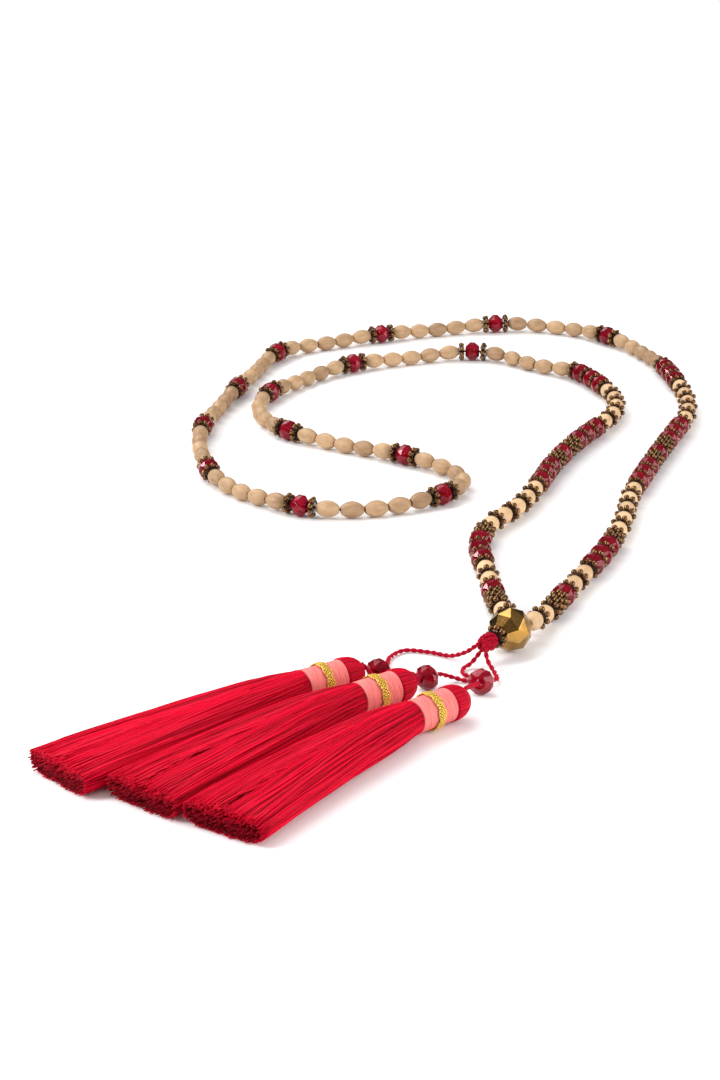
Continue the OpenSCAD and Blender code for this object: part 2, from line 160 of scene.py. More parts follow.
def edit():
    bpy.ops.object.mode_set(mode="EDIT")
    bpy.ops.mesh.select_all(action="SELECT")


def outward_faces():
    """Turns the edited mesh's faces outward and ends the editing."""
    bpy.ops.mesh.normals_make_consistent(inside=False)
    bpy.ops.object.mode_set(mode="OBJECT")


def apply_modifier(obj, kind, **values):
    modifier = obj.modifiers.new(kind.title(), kind)
    for key, value in values.items():
        setattr(modifier, key, value)
    bpy.context.view_layer.objects.active = obj
    bpy.ops.object.modifier_apply(modifier=modifier.name)


class Shape:
    """Corners, faces, smoothness of each face, UV and tone of a mesh, ready to be copied into place"""

    def __init__(self, corners, faces, smooth, uv=None, tone=None):
        self.corners = np.asarray(corners, float)
        self.faces, self.smooth, self.uv, self.tone = faces, smooth, uv, tone

    def moved(self, turn, to=(0, 0, 0)):
        return Shape(self.corners @ turn.T + to, self.faces, self.smooth, self.uv, self.tone)


def taken(obj):
    """Shape of a modelled object, which is then removed."""
    mesh = obj.data
    corners = [(obj.matrix_world @ corner.co)[:] for corner in mesh.vertices]
    shape = Shape(corners, [tuple(p.vertices) for p in mesh.polygons], [p.use_smooth for p in mesh.polygons])
    bpy.data.objects.remove(obj)
    bpy.data.meshes.remove(mesh)
    return shape


def joined(shapes):
    """One shape of several. It has the UV and the tone only if all of them have."""
    faces, smooth, start = [], [], 0
    for shape in shapes:
        faces += [tuple(start + k for k in face) for face in shape.faces]
        smooth += shape.smooth
        start += len(shape.corners)
    uv, tone = (
        None if any(part is None for part in parts) else np.concatenate(parts)
        for parts in ([shape.uv for shape in shapes], [shape.tone for shape in shapes]))
    return Shape(np.concatenate([shape.corners for shape in shapes]), faces, smooth, uv, tone)


def piece(name, shape, material, nodes, bead=None, reach=None):
    """A finished piece: its mesh in its place, riding on the frame and standing for its CAD nodes."""
    mesh = bpy.data.meshes.new(name)
    mesh.from_pydata(shape.corners.tolist(), [], shape.faces)
    mesh.polygons.foreach_set("use_smooth", shape.smooth)
    if shape.uv is not None:
        layer = mesh.uv_layers.new(name="Thread")
        layer.data.foreach_set("uv", np.asarray(shape.uv, np.float32).ravel())
    for label, kind, field, values in (
            ("tone", "FLOAT", "value", shape.tone),
            ("bead", "FLOAT_VECTOR", "vector", bead),
            ("reach", "FLOAT", "value", reach)):
        if values is not None:
            data = mesh.attributes.new(label, kind, "POINT").data
            data.foreach_set(field, np.asarray(values, np.float32).ravel())
    mesh.materials.append(material)
    mesh.update()
    obj = bpy.data.objects.new(name, mesh)
    bpy.context.scene.collection.objects.link(obj)
    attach(obj, "root")
    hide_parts(*nodes)
    return obj


# Corners closer than this are one corner: in turned rings and in cut stones
RING_WELD, STONE_WELD = 0.002 * MM, 0.03 * MM


def turned(rows, steps):
    """A ring turned round Z: a circle whose edge is extruded to each next radius and height, and closed."""
    deselect()
    first_radius, first_height = rows[0]
    bpy.ops.mesh.primitive_circle_add(vertices=steps, radius=first_radius, location=(0, 0, 0))
    obj = bpy.context.object
    edit()
    bpy.ops.transform.translate(value=(0, 0, first_height))
    for (radius, height), (next_radius, next_height) in zip(rows, rows[1:] + rows[:1]):
        share = next_radius / radius
        bpy.ops.mesh.extrude_edges_move(TRANSFORM_OT_translate={"value": (0, 0, next_height - height)})
        bpy.ops.transform.resize(value=(share, share, 1), center_override=(0, 0, next_height))
    bpy.ops.mesh.select_all(action="SELECT")
    bpy.ops.mesh.remove_doubles(threshold=RING_WELD)
    outward_faces()
    return obj


def cut_stone(length, width, facets, hole, edge):
    """A stone cut from a cylinder: each facet is given by its angle and two points (radius, height) on it."""
    deselect()
    bpy.ops.mesh.primitive_cylinder_add(vertices=24, radius=0.7 * width, depth=length)
    obj = bpy.context.object
    edit()
    for angle, (r1, z1), (r2, z2) in facets:
        along = Vector((math.cos(angle), math.sin(angle), 0))
        point = along * r1 + Vector((0, 0, z1))
        normal = (along * (z1 - z2) + Vector((0, 0, r2 - r1))).normalized()
        if normal.dot(point) < 0:
            normal.negate()
        bpy.ops.mesh.select_all(action="SELECT")
        bpy.ops.mesh.bisect(plane_co=point, plane_no=normal, use_fill=True, clear_outer=True, threshold=1e-7)
    bpy.ops.mesh.select_all(action="SELECT")
    bpy.ops.mesh.remove_doubles(threshold=STONE_WELD)
    bpy.ops.mesh.dissolve_limited(angle_limit=math.radians(1.5))
    outward_faces()
    apply_modifier(obj, "BEVEL", width=edge, segments=1, limit_method="ANGLE", angle_limit=math.radians(6))
    deselect()
    bpy.ops.mesh.primitive_cylinder_add(vertices=16, radius=hole / 2, depth=2 * length)
    drill = bpy.context.object
    apply_modifier(obj, "BOOLEAN", operation="DIFFERENCE", solver="EXACT", object=drill)
    bpy.data.objects.remove(drill)
    return obj


def tubes(rings, tone=None):
    """Closed tubes through rings of points (tube, ring, point, xyz) that turn left-handed along them, with
    flat ends and the UV in turns round the tube and millimetres along it."""
    count, points, sides = rings.shape[:3]
    k = np.arange(sides)
    row = np.arange(count * points).reshape(count, points, 1)[:, :-1] * sides
    a, b = row + k, row + (k + 1) % sides
    quads = np.stack([b, a, a + sides, b + sides], -1).reshape(-1, 4)
    ends = np.arange(count * points * sides).reshape(count, points, sides)[:, [0, -1]]
    ends[:, 1] = ends[:, 1, ::-1]
    length = lengths(rings.mean(2))[..., None] / MM + 0 * k
    low, high = length[:, :-1], length[:, 1:]
    u = np.stack([k + 1, k, k, k + 1], -1) / sides + 0 * low[..., None]
    uv = np.stack([u, np.stack([low, low, high, high], -1)], -1).reshape(-1, 2)
    return Shape(
        rings.reshape(-1, 3), [tuple(face) for face in quads.tolist() + ends.reshape(-1, sides).tolist()],
        [True] * len(quads) + [False] * 2 * count, np.concatenate([uv, np.zeros((ends.size, 2))]), tone)


def strands(paths, outward, radius, sides, tone=None):
    """Threads along many paths of the same number of points (strand, point, xyz). Their tone is for each
    strand or for each of its points."""
    paths = np.asarray(paths, float)
    radius = np.broadcast_to(np.asarray(radius, float), paths.shape[:2])
    along = unit(np.gradient(paths, axis=1))
    side = unit(np.cross(along, np.broadcast_to(np.asarray(outward, float), paths.shape)))
    up = np.cross(side, along)
    turn = circle(sides)[:, None] + np.pi / 2
    rings = paths[:, :, None] + radius[:, :, None, None] * (
        np.cos(turn) * side[:, :, None] + np.sin(turn) * up[:, :, None])
    return tubes(rings, None if tone is None else np.repeat(np.broadcast_to(tone, paths.shape[:2]), sides))


def skin(rings, tone=None):
    """A closed skin through rings of points (ring, point, xyz) that turn right-handed along it. The rings
    are turned round for the tubes, and the UV is turned back."""
    tone = None if tone is None else np.asarray(tone, float)[:, ::-1].reshape(-1)
    shape = tubes(np.asarray(rings, float)[None, :, ::-1], tone)
    shape.uv[:, 0] *= -1
    return shape


def solids(node):
    """Corners of a CAD node and, for each of its separate solids, the triangles on them."""
    mesh = NODES[node].data
    points = np.empty(3 * len(mesh.vertices), np.float32)
    mesh.vertices.foreach_get("co", points)
    points = points.reshape(-1, 3).astype(float)
    mesh.calc_loop_triangles()
    triangles = np.empty(3 * len(mesh.loop_triangles), np.int32)
    mesh.loop_triangles.foreach_get("vertices", triangles)
    triangles = triangles.reshape(-1, 3)
    welded = np.unique(np.round(points * 1e7).astype(np.int64), axis=0, return_inverse=True)[1].reshape(-1)
    corners = welded[triangles]
    label = np.arange(corners.max() + 1)
    while True:
        lowest = label[corners].min(axis=1)
        new = label.copy()
        for side in range(3):
            np.minimum.at(new, corners[:, side], lowest)
        new = new[new]
        if np.array_equal(new, label):
            break
        label = new
    owner = label[corners[:, 0]]
    return points, [triangles[owner == part] for part in np.unique(owner)]


def seats(node, around=0, end=99.0):
    """Centre, turn and length of each round solid of a node. The axis is the direction whose spread stands
    apart. If its form repeats round the axis, around says how often, and the spin is that of the outermost
    corners within end millimetres of the lower end."""
    points, parts = solids(node)
    found = []
    for triangles in parts:
        a, b, c = (points[triangles[:, k]] for k in range(3))
        area = np.linalg.norm(np.cross(b - a, c - a), axis=1)[:, None]
        middle = (a + b + c) / 3
        centre = (middle * area).sum(0) / area.sum()
        # Spread of the surface: a triangle's is that of its corners and nine times that of its middle
        scatter = sum(share * ((at - centre) * area).T @ (at - centre)
                      for at, share in ((a, 1), (b, 1), (c, 1), (middle, 9)))
        values, vectors = np.linalg.eigh(scatter)
        axis = vectors[:, 2] if values[2] - values[1] > values[1] - values[0] else vectors[:, 0]
        side = unit(np.cross((0, 0, 1), axis))
        turn = np.stack([side, np.cross(axis, side), axis], 1)
        local = (points[np.unique(triangles)] - centre) @ turn
        if around:
            radius = np.hypot(local[:, 0], local[:, 1])
            low = local[:, 2] < local[:, 2].min() + end * MM
            outer = low & (radius > 0.985 * radius[low].max())
            angles = np.arctan2(local[outer, 1], local[outer, 0])
            turn = turn @ spin(np.angle(np.exp(1j * around * angles).mean()) / around)
        found.append((centre, turn, np.ptp(local[:, 2])))
    found.sort(key=lambda seat: (round(seat[0][0], 5), seat[0][1]))
    return found


# Stretch of the grain that each bead may take its own from, to either side, in millimetres
GRAIN_REACH = 400


def strung(name, node, shape_for, material, around=0, end=99.0, seed=0, tones=(0.0, 1.0)):
    """Copies a modelled bead to each solid of a node, with its own tone and its own stretch of the grain."""
    rng = np.random.default_rng(seed)
    copies, local, shades, reach = [], [], [], []
    for centre, turn, length in seats(node, around, end):
        shape = shape_for(length)
        copies.append(shape.moved(turn, centre))
        local.append(shape.corners / MM + rng.uniform(-GRAIN_REACH, GRAIN_REACH, 3))
        shades.append(np.full(len(shape.corners), rng.uniform(*tones)))
        reach.append(np.hypot(shape.corners[:, 0], shape.corners[:, 1]) / MM)
    whole = joined(copies)
    whole.tone = np.concatenate(shades)
    return piece(name, whole, material, [node], np.concatenate(local), np.concatenate(reach))


class Graph:
    """A node tree, with a short way to add each kind of node"""

    def __init__(self, tree):
        self.tree = tree

    def feed(self, sockets, values):
        """Links each value that is a socket, and sets every other value on its socket."""
        for key, value in values.items():
            if isinstance(value, bpy.types.NodeSocket):
                self.tree.links.new(value, sockets[key])
            elif sockets[key].type == "RGBA":
                sockets[key].default_value = (*value[:3], 1)
            else:
                sockets[key].default_value = value

    def add(self, kind, inputs=None, **settings):
        node = self.tree.nodes.new(kind)
        for key, value in settings.items():
            setattr(node, key, value)
        self.feed(node.inputs, inputs or {})
        return node

    def maths(self, operation, first, second=0.5, clamp=False):
        inputs = {0: first, 1: second}
        return self.add("ShaderNodeMath", inputs, operation=operation, use_clamp=clamp).outputs[0]

    def times(self, first, second):
        return self.maths("MULTIPLY", first, second)

    def scaled(self, vector, by):
        return self.add("ShaderNodeVectorMath", {0: vector, 1: by}, operation="MULTIPLY").outputs[0]

    def blend(self, share, first, second):
        return self.add("ShaderNodeMix", {0: share, 6: first, 7: second}, data_type="RGBA").outputs[2]

    def spread(self, value, low, high, to_low=0.0, to_high=1.0):
        return self.add("ShaderNodeMapRange", {0: value, 1: low, 2: high, 3: to_low, 4: to_high}).outputs[0]

    def between(self, value, low, high):
        return self.spread(value, 0.0, 1.0, low, high)

    def noise(self, vector, scale, detail=2.0):
        return self.add("ShaderNodeTexNoise", {"Vector": vector, "Scale": scale, "Detail": detail}).outputs[0]

    def attribute(self, name, output="Fac"):
        return self.add("ShaderNodeAttribute", attribute_name=name).outputs[output]

    def object_place(self):
        return self.add("ShaderNodeTexCoord").outputs["Object"]

    def thread_uv(self):
        return self.add("ShaderNodeUVMap", uv_map="Thread").outputs[0]

    def grouped(self, group, **inputs):
        return self.add("ShaderNodeGroup", inputs, node_tree=group).outputs

    def marks(self, scale, stretch=(1.0, 1.0, 1.0)):
        """Mottling that stays with its bead."""
        return self.grouped(speckle(), Vector=self.attribute("bead", "Vector"), Scale=scale, Stretch=stretch)

    def twist(self, plies, pitch):
        return self.grouped(thread_twist(), UV=self.thread_uv(), Plies=plies, Pitch=pitch)


class Surface(Graph):
    """A new material, whose Principled shader gets all its inputs at once"""

    def __init__(self, name):
        self.material = bpy.data.materials.new(name)
        self.material.use_nodes = True
        super().__init__(self.material.node_tree)

    def painted(self, inputs, bump=None):
        """The material with these inputs and with a bump: its height, strength and depth in millimetres."""
        shader = self.tree.nodes["Principled BSDF"]
        self.feed(shader.inputs, inputs)
        if bump:
            height, strength, depth = bump
            relief = {"Height": height, "Strength": strength, "Distance": depth * MM}
            self.feed(shader.inputs, {"Normal": self.add("ShaderNodeBump", relief).outputs[0]})
        return self.material


def effect(name, inputs, outputs):
    """A new shared effect: its graph, the sockets of what it is given and those of what it gives."""
    tree = bpy.data.node_groups.new(name, "ShaderNodeTree")
    for label, kind, value in inputs:
        socket = tree.interface.new_socket(label, in_out="INPUT", socket_type=kind)
        if value is not None:
            socket.default_value = value
    for label in outputs:
        tree.interface.new_socket(label, in_out="OUTPUT", socket_type="NodeSocketFloat")
    return Graph(tree), tree.nodes.new("NodeGroupInput").outputs, tree.nodes.new("NodeGroupOutput").inputs


def thread_twist():
    """Plies of a twisted thread, from a UV in turns round it and millimetres along it, with a mask of the
    hollows between the plies that the materials darken as painted shade.
    """
    if "Thread twist" in bpy.data.node_groups:
        return bpy.data.node_groups["Thread twist"]
    g, given, results = effect(
        "Thread twist",
        [("UV", "NodeSocketVector", None), ("Plies", "NodeSocketFloat", 3.0),
         ("Pitch", "NodeSocketFloat", 1.2)],
        ["Height", "Hollow shade"])
    parts = g.add("ShaderNodeSeparateXYZ", {0: given["UV"]}).outputs
    turns = g.maths("ADD", g.times(parts[0], given["Plies"]), g.maths("DIVIDE", parts[1], given["Pitch"]))
    wave = g.maths("ABSOLUTE", g.maths("SINE", g.times(turns, math.pi)))
    height = g.maths("ADD", wave, g.times(g.noise(given["UV"], 2.3), 0.35))
    # The hollow shade mask marks where the plies dip apart, for the painted shade between them
    g.feed(results, {"Height": height, "Hollow shade": g.spread(wave, 0.05, 0.6, 1.0, 0.0)})
    return g.tree


def speckle():
    """Fine mottling of a surface, from any coordinates in millimetres."""
    if "Speckle" in bpy.data.node_groups:
        return bpy.data.node_groups["Speckle"]
    g, given, results = effect(
        "Speckle",
        [("Vector", "NodeSocketVector", None), ("Scale", "NodeSocketFloat", 1.0),
         ("Stretch", "NodeSocketVector", (1, 1, 1))],
        ["Cloud", "Grain"])
    at = g.scaled(given["Vector"], given["Stretch"])
    for result, share, detail in (("Cloud", 0.35, 3.0), ("Grain", 3.0, 2.0)):
        mottle = g.noise(at, g.times(given["Scale"], share), detail)
        g.feed(results, {result: g.spread(mottle, 0.3, 0.7)})
    return g.tree


def shade(share, tint):
    """A darker tint."""
    return [share * part for part in tint]


def wood(s):
    g = Surface("turned wood")
    marks = g.marks(1.6, (1.0, 1.0, 0.3))
    tone = g.maths("ADD", g.times(g.attribute("tone"), 0.75), g.times(marks["Cloud"], 0.25))
    flecks = g.spread(marks["Grain"], 0.62, 0.95, 0.0, 0.4)
    return g.painted({
        "Base Color": g.blend(flecks, g.blend(tone, s.wood_light, s.wood_dark), shade(0.6, s.wood_dark)),
        "Roughness": g.between(marks["Grain"], 0.42, 0.6),
        "Specular IOR Level": 0.3,
        "Coat Weight": 0.2,
        "Coat Roughness": 0.35,
    }, (marks["Grain"], 0.35, 0.08))


def crystal(s):
    g = Surface("red crystal")
    marks = g.marks(0.5)
    base = g.blend(g.times(g.attribute("tone"), 0.5), s.crystal_red, shade(0.45, s.crystal_red))
    return g.painted({
        "Base Color": g.blend(g.times(marks["Cloud"], 0.25), base, (0.5, 0.015, 0.04)),
        "Roughness": g.between(marks["Grain"], 0.03, 0.07),
        "Transmission Weight": 0.6,
        "IOR": 1.58,
        "Specular IOR Level": 0.2,
        "Specular Tint": (1.0, 0.6, 0.65),
    })


def bronze(s):
    g = Surface("antique bronze")
    marks = g.marks(1.4)
    patches = g.times(g.maths("SUBTRACT", marks["Cloud"], 0.5), 0.7)
    rubbed = g.maths("ADD", g.spread(g.attribute("reach"), 2.3, 4.0), patches, clamp=True)
    base = g.blend(rubbed, s.bronze_dark, s.bronze_bright)
    return g.painted({
        "Base Color": g.blend(g.times(g.attribute("tone"), 0.3), base, s.bronze_dark),
        "Roughness": g.between(marks["Grain"], 0.1, 0.26),
        "Metallic": g.between(rubbed, 0.55, 1.0),
    }, (marks["Grain"], 0.4, 0.06))


def gold(s):
    g = Surface("antique gold")
    marks = g.marks(0.8)
    return g.painted({
        "Base Color": g.blend(g.times(marks["Cloud"], 0.9), s.gold, (0.26, 0.16, 0.06)),
        "Roughness": g.between(marks["Grain"], 0.12, 0.24),
        "Metallic": 1.0,
    })


def twisted(name, tint):
    """Thread of three plies that follows the piece's own UV."""
    g = Surface(name)
    twist = g.twist(3.0, 0.9)
    cloud = g.noise(g.thread_uv(), 0.9)
    base = g.blend(g.spread(cloud, 0.3, 0.7, 0.0, 0.35), tint, shade(0.55, tint))
    return g.painted({
        # Painted shade: the cord and knot are darker in the hollows between the plies
        "Base Color": g.blend(g.times(twist["Hollow shade"], 0.6), base, shade(0.3, tint)),
        "Roughness": g.between(cloud, 0.45, 0.65),
        "Specular IOR Level": 0.12,
    }, (twist["Height"], 0.7, 0.16))


def bead_thread(s):
    g = Surface("bead thread")
    fibre = g.grouped(speckle(), Vector=g.scaled(g.object_place(), (1000, 1000, 1000)), Scale=1.5)
    return g.painted({
        "Base Color": g.blend(fibre["Cloud"], s.thread_red, shade(0.5, s.thread_red)),
        "Roughness": g.between(fibre["Grain"], 0.6, 0.8),
    }, (fibre["Grain"], 0.6, 0.1))


def silk(s):
    g = Surface("red silk")
    twist = g.twist(2.0, 0.9)
    tone = g.attribute("tone")
    # The tone carries painted shade and painted highlights as well as each thread's own tone
    base = g.blend(tone, s.silk_shade, s.silk_bright)
    return g.painted({
        # Painted shade: darker in the hollows between the plies of each thread
        "Base Color": g.blend(g.times(twist["Hollow shade"], 0.2), base, s.silk_shade),
        "Roughness": g.between(tone, 0.6, 0.4),
        "Specular IOR Level": 0.08,
    }, (twist["Height"], 0.3, 0.08))


def coral(s):
    g = Surface("coral thread")
    lines = g.scaled(g.thread_uv(), (1.6, 1.0, 1.0))
    streak, fine = g.noise(lines, 1.3, 3.0), g.noise(lines, 4.5)
    base = g.blend(g.spread(streak, 0.3, 0.7), s.coral, (0.9, 0.265, 0.25))
    return g.painted({
        "Base Color": g.blend(g.spread(fine, 0.34, 0.58, 0.65, 0.0), base, shade(0.55, s.coral)),
        "Roughness": g.between(streak, 0.5, 0.7),
        "Specular IOR Level": 0.25,
    }, (fine, 0.6, 0.12))


def lurex(s):
    g = Surface("gold braid")
    twist = g.twist(1.0, 1.1)
    painted_glint = g.noise(g.thread_uv(), 1.7, 3.0)
    # Painted highlight: brighter yellow glints mottled into the gold, and the same mask sets the roughness
    base = g.blend(g.spread(painted_glint, 0.4, 0.62), s.braid_gold, (1.0, 0.74, 0.16))
    # Painted shade in the hollows between the plies
    hollow_shaded = g.blend(g.times(twist["Hollow shade"], 0.6), base, (0.2, 0.1, 0.01))
    return g.painted({
        # Painted shade: the tape under the wires has tone 0 and takes this dark colour, seen in the gaps
        # between the wires
        "Base Color": g.blend(g.attribute("tone"), (0.16, 0.08, 0.01), hollow_shaded),
        "Roughness": g.between(painted_glint, 0.5, 0.2),
        "Metallic": 0.6,
    }, (twist["Height"], 0.6, 0.15))


def table_top(s):
    g = Surface("white table")
    cloud = g.noise(g.object_place(), 30.0)
    return g.painted({
        "Base Color": g.blend(g.spread(cloud, 0.3, 0.7, 0.0, 0.06), s.floor, (0.85, 0.84, 0.84)),
        "Roughness": 0.6,
        "Specular IOR Level": 0.2,
    })


# Camera fitted to the photo: its place in metres and its turn, its lens and sensor height in millimetres
CAMERA_PLACE, CAMERA_TURN = (-0.0219, -0.8723, 0.3103), (math.radians(70), 0, 0)
CAMERA_LENS, CAMERA_SENSOR = 86.18, 36
TABLE_WIDTH, TABLE_HEIGHT = 8, -0.04 * MM
SUN_PLACE, LAMP_AIM = (-0.45, 0.6, 1.0), (0.02, -0.1, 0)
# Name, place, width and share of the power of each side light
LAMPS = [("left_light", (-0.8, -0.3, 0.55), 0.28, 1.0), ("right_light", (0.75, -0.45, 0.35), 0.6, 0.9)]


class NECKLACE_OT_stage(bpy.types.Operator):
    """Adds the camera, the white table and the soft lights"""

    bl_idname = "necklace.stage"
    bl_label = "Stage"

    def execute(self, context):
        s = context.scene.necklace_stage
        deselect()
        bpy.ops.object.camera_add(location=CAMERA_PLACE, rotation=CAMERA_TURN)
        camera = context.object
        camera.name = "photo_camera"
        camera.data.sensor_fit = "VERTICAL"
        camera.data.sensor_height = CAMERA_SENSOR
        camera.data.lens = CAMERA_LENS
        camera.data.clip_start = 0.05
        context.scene.camera = camera

        deselect()
        bpy.ops.mesh.primitive_plane_add(size=TABLE_WIDTH, location=(0, 0, TABLE_HEIGHT))
        floor = context.object
        floor.name = "table"
        bpy.ops.object.transform_apply(location=True, rotation=False, scale=False)
        floor.data.materials.append(table_top(s))

        def aimed(kind, name, place, aim):
            bpy.ops.object.light_add(type=kind, location=place)
            light = context.object
            light.name = name
            light.rotation_euler = (Vector(aim) - Vector(place)).to_track_quat("-Z", "Y").to_euler()
            return light.data

        sun = aimed("SUN", "soft_light", SUN_PLACE, (0, 0, 0))
        sun.energy, sun.angle = s.sun, s.breadth
        for name, place, breadth, share in LAMPS:
            lamp = aimed("AREA", name, place, LAMP_AIM)
            lamp.size, lamp.energy = breadth, share * s.side_power
        self.light_room(context.scene, s)
        context.scene.view_settings.view_transform = "Standard"
        return {"FINISHED"}

    def light_room(self, scene, s):
        """Bright room all round, of which gloss and glass mirror a dark one with a brighter ceiling."""
        world = bpy.data.worlds.new("studio")
        world.use_nodes = True
        g = Graph(world.node_tree)
        path = g.add("ShaderNodeLightPath").outputs
        mirrored = g.maths("MAXIMUM", path["Is Glossy Ray"], path["Is Transmission Ray"])
        direction = g.add("ShaderNodeTexCoord").outputs["Generated"]
        height = g.add("ShaderNodeSeparateXYZ", {0: direction}).outputs[2]
        ceiling = g.spread(height, 0.25, 0.8, 0.25 * s.mirrored, 2.2 * s.mirrored)
        dark = g.times(mirrored, g.maths("SUBTRACT", s.room, ceiling))
        g.feed(g.tree.nodes["Background"].inputs, {
            "Strength": g.maths("SUBTRACT", s.room, dark), "Color": (1.0, 0.985, 0.99)})
        scene.world = world


# Points that each drop cord follows, from the knot to the head of its tassel, in millimetres
CORDS = {
    "back": [
        (13.84, -134.14, 6.74), (10.6, -132, 3.6), (6, -129, 1.2), (0, -125.5, 0.9), (-7.9, -124, 0.9),
        (-12.6, -129.5, 0.9), (-13.6, -137, 1.6), (-14.52, -144.75, 4), (-18.2, -151.12, 4),
        (-21.68, -151.93, 8.36)],
    "middle": [
        (15.39, -134.75, 5.22), (12.4, -136.2, 1.8), (9.8, -138.8, 0.9), (9.8, -143, 0.9),
        (12.4, -145.6, 0.9), (10.8, -148.4, 0.9), (5.8, -146.8, 1.6), (0.85, -150.35, 4),
        (-4.35, -155.55, 4), (-6.42, -159.99, 8.43)],
    "front": [
        (16.45, -136, 6.75), (17.4, -138.4, 3.2), (19.4, -142.6, 1), (19.4, -148.5, 1.4),
        (15.4, -152.9, 3.19), (13.44, -159.76, 4.97), (8.92, -172.22, 8.66)],
}
KNOT_BACK = (np.array([19.43, -129.39, 7.22]) + SHIFT) * MM
KNOT_FRONT = (np.array([15.61, -134.46, 6.33]) + SHIFT) * MM
KNOT_RADIUS, KNOT_THREAD = 2.95 * MM, 1.1 * MM
# Distance between the points of a cord's plies
CORD_STEP = 0.28 * MM
# How far a ply's middle is from the cord's and how thick it is to either side, as shares of the cord's width
PLY_PLACE, PLY_RADIUS = 0.235, 0.27


def cord_route(place):
    """Smooth curve through the points of a drop cord, whose last two spans are straight."""
    p = (np.array(CORDS[place], float) + SHIFT) * MM
    last, straight, steps = len(p) - 1, 2, 12
    route = []
    for k in range(last):
        a, b, c, d = p[max(0, k - 1)], p[k], p[k + 1], p[min(last, k + 2)]
        for t in np.arange(steps) / steps:
            if k < last - straight:
                route.append((2 * b + (c - a) * t + (2 * a - 5 * b + 4 * c - d) * t * t
                              + (3 * b - a - 3 * c + d) * t ** 3) / 2)
            else:
                route.append(b + (c - b) * t)
    return np.array(route + [p[last]])


def evenly(route, step):
    """The same route with points a step apart."""
    s = lengths(route)
    at = np.linspace(0, s[-1], int(round(s[-1] / step)) + 1)
    return np.stack([np.interp(at, s, route[:, k]) for k in range(3)], 1)


def plies(route, width, pitch, sides=8, start=0.0):
    """Two plies twisted round each other along a route, side by side at the start length."""
    along = unit(np.gradient(route, axis=0))
    side = unit(np.cross((0, 0, 1), along))
    up = np.cross(along, side)
    turn = 2 * np.pi * (lengths(route) - start) / pitch
    outward = np.stack([np.cos(turn + phase)[:, None] * side + np.sin(turn + phase)[:, None] * up
                        for phase in (0, np.pi)])
    return strands(route + outward * width * PLY_PLACE, outward, width * PLY_RADIUS, sides)


class NECKLACE_OT_drop_cords(bpy.types.Operator):
    """Twists the three drop cords along their routes"""

    bl_idname = "necklace.drop_cords"
    bl_label = "Drop Cords"

    def execute(self, context):
        s = context.scene.necklace_threads
        material = twisted("red cord", s.cord_red)
        for place in PLACES:
            route = cord_route(place)
            fine = evenly(route, CORD_STEP)
            shape = plies(fine, s.cord_width, s.cord_pitch)
            cord = piece("cord_" + place, shape, material, ["drop_cord_" + place])
        return {"FINISHED"}


class NECKLACE_OT_knot(bpy.types.Operator):
    """Winds the red thread knot below the gold bead"""

    bl_idname = "necklace.knot"
    bl_label = "Thread Knot"

    def execute(self, context):
        s = context.scene.necklace_threads
        axis = unit(KNOT_BACK - KNOT_FRONT)
        side = unit(np.cross((0, 0, 1), axis))
        up = np.cross(axis, side)
        centre = (KNOT_FRONT + KNOT_BACK) / 2
        half = np.linalg.norm(KNOT_BACK - KNOT_FRONT) / 2

        def around(angle, radius, height):
            out = side * np.cos(angle)[:, None] + up * np.sin(angle)[:, None]
            return centre + axis * np.reshape(height, (-1, 1)) + out * np.reshape(radius, (-1, 1))

        # Thread wound to and fro in three turns, eight times from end to end
        reach = half - 0.3 * KNOT_THREAD
        u = np.linspace(0, 2 * np.pi, 720)
        height = 0.9 * reach * np.sin(8 * u)
        girth = (KNOT_RADIUS - KNOT_THREAD / 2) * np.sqrt(1 - 0.5 * (height / reach) ** 2)
        winding = around(3 * u, girth - 0.2 * MM + 0.25 * MM * np.cos(8 * u), height)
        wound = [plies(winding, KNOT_THREAD, 2.4 * MM, 6)]
        # Core under the winding
        rows = [around(circle(20), 2.1 * MM * math.sqrt(1 - 0.62 * t * t), 0.9 * half * t)
                for t in np.linspace(-1, 1, 9)]
        wound.append(skin(rows))
        # Stubs that lead from the core to the cords
        for place in PLACES:
            cord = evenly(cord_route(place), CORD_STEP)
            ahead = unit(cord[1] - cord[0])
            inner = KNOT_FRONT + 1.6 * MM * axis + 0.5 * (cord[0] - KNOT_FRONT)
            t = np.linspace(0, 1, 12)[:, None]
            stub = ((1 - t) ** 2 * inner + 2 * t * (1 - t) * (cord[0] - 0.9 * MM * ahead)
                    + t * t * (cord[0] - 0.02 * MM * ahead))
            wound.append(plies(stub, s.cord_width, s.cord_pitch, start=lengths(stub)[-1]))
        piece("wound_knot", joined(wound), twisted("knot thread", s.cord_red), ["tassel_knot"])
        return {"FINISHED"}


